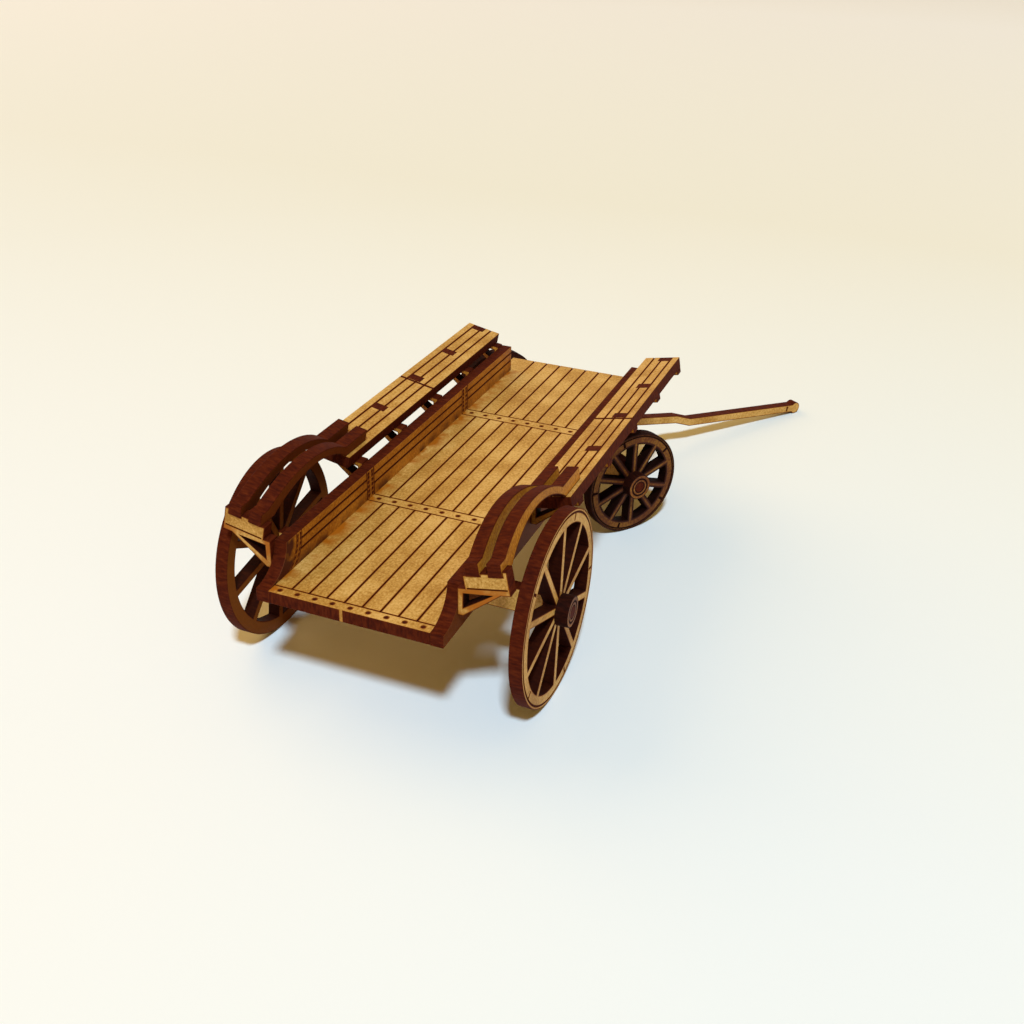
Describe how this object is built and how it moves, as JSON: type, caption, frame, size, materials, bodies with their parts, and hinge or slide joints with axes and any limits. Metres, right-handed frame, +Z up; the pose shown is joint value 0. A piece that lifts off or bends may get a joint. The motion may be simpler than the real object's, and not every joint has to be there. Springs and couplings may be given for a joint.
{
  "type": "model bow wagon",
  "caption": "Small laser-cut fibreboard model of a four-wheeled bow wagon: flat bed, low sides, raised side boards, bows over the rear wheels, steered fore-carriage and a hinged draw pole.",
  "frame": {"origin": "centre of the floor's top face", "axes": "+X to the wagon's right, +Y forward along the bed, +Z up"},
  "size_m": [0.0656, 0.14, 0.0326],
  "materials": {
    "tan_board": "tan fibreboard face with dark laser-engraved lines and scorched edges",
    "burnt_board": "fibreboard plates that show mostly their scorched red-brown cut edges",
    "dowel": "short plain wooden dowel"
  },
  "bodies": {
    "bed": {"floor": "tan_board", "left_side": "tan_board", "right_side": "tan_board", "left_outrave": "tan_board", "right_outrave": "tan_board", "left_bracket_1": "burnt_board", "left_bracket_2": "burnt_board", "left_bracket_3": "burnt_board", "left_bracket_4": "burnt_board", "left_bracket_5": "burnt_board", "right_bracket_1": "burnt_board", "right_bracket_2": "burnt_board", "right_bracket_3": "burnt_board", "right_bracket_4": "burnt_board", "right_bracket_5": "burnt_board", "left_rear_bracket": "burnt_board", "right_rear_bracket": "burnt_board", "left_inner_arch": "burnt_board", "left_outer_arch": "burnt_board", "right_inner_arch": "burnt_board", "right_outer_arch": "burnt_board", "rear_axle": "tan_board", "upper_turntable": "tan_board", "king_pin": "dowel"},
    "fore_carriage": {"lower_turntable": "tan_board", "front_axle": "tan_board", "left_hound": "tan_board", "right_hound": "tan_board", "pole_pin": "dowel"},
    "pole": {"pole": "tan_board"},
    "rear_left": {"rear_left_wheel": "tan_board", "rear_left_hub": "burnt_board"},
    "rear_right": {"rear_right_wheel": "tan_board", "rear_right_hub": "burnt_board"},
    "front_left": {"front_left_wheel": "tan_board", "front_left_hub": "burnt_board"},
    "front_right": {"front_right_wheel": "tan_board", "front_right_hub": "burnt_board"}
  },
  "joints": [
    {"name": "rear_left_spin", "type": "hinge", "parent": "bed", "child": "rear_left", "pos_m": [-0.02326, -0.0294, -0.0044], "axis": [1, 0, 0], "continuous": true},
    {"name": "rear_right_spin", "type": "hinge", "parent": "bed", "child": "rear_right", "pos_m": [0.02326, -0.0294, -0.0044], "axis": [1, 0, 0], "continuous": true},
    {"name": "steer", "type": "hinge", "parent": "bed", "child": "fore_carriage", "pos_m": [0, 0.0366, -0.006], "axis": [0, 0, 1], "range_deg": [-0.3, 70.6]},
    {"name": "front_left_spin", "type": "hinge", "parent": "fore_carriage", "child": "front_left", "pos_m": [-0.01902, 0.04999, -0.00955], "axis": [0.8176, -0.5757, 0], "continuous": true},
    {"name": "front_right_spin", "type": "hinge", "parent": "fore_carriage", "child": "front_right", "pos_m": [0.01902, 0.02321, -0.00955], "axis": [0.8176, -0.5757, 0], "continuous": true},
    {"name": "pole_lift", "type": "hinge", "parent": "fore_carriage", "child": "pole", "pos_m": [0.00345, 0.04151, -0.00855], "axis": [0.8176, -0.5757, 0], "range_deg": [-5, 30]}
  ]
}
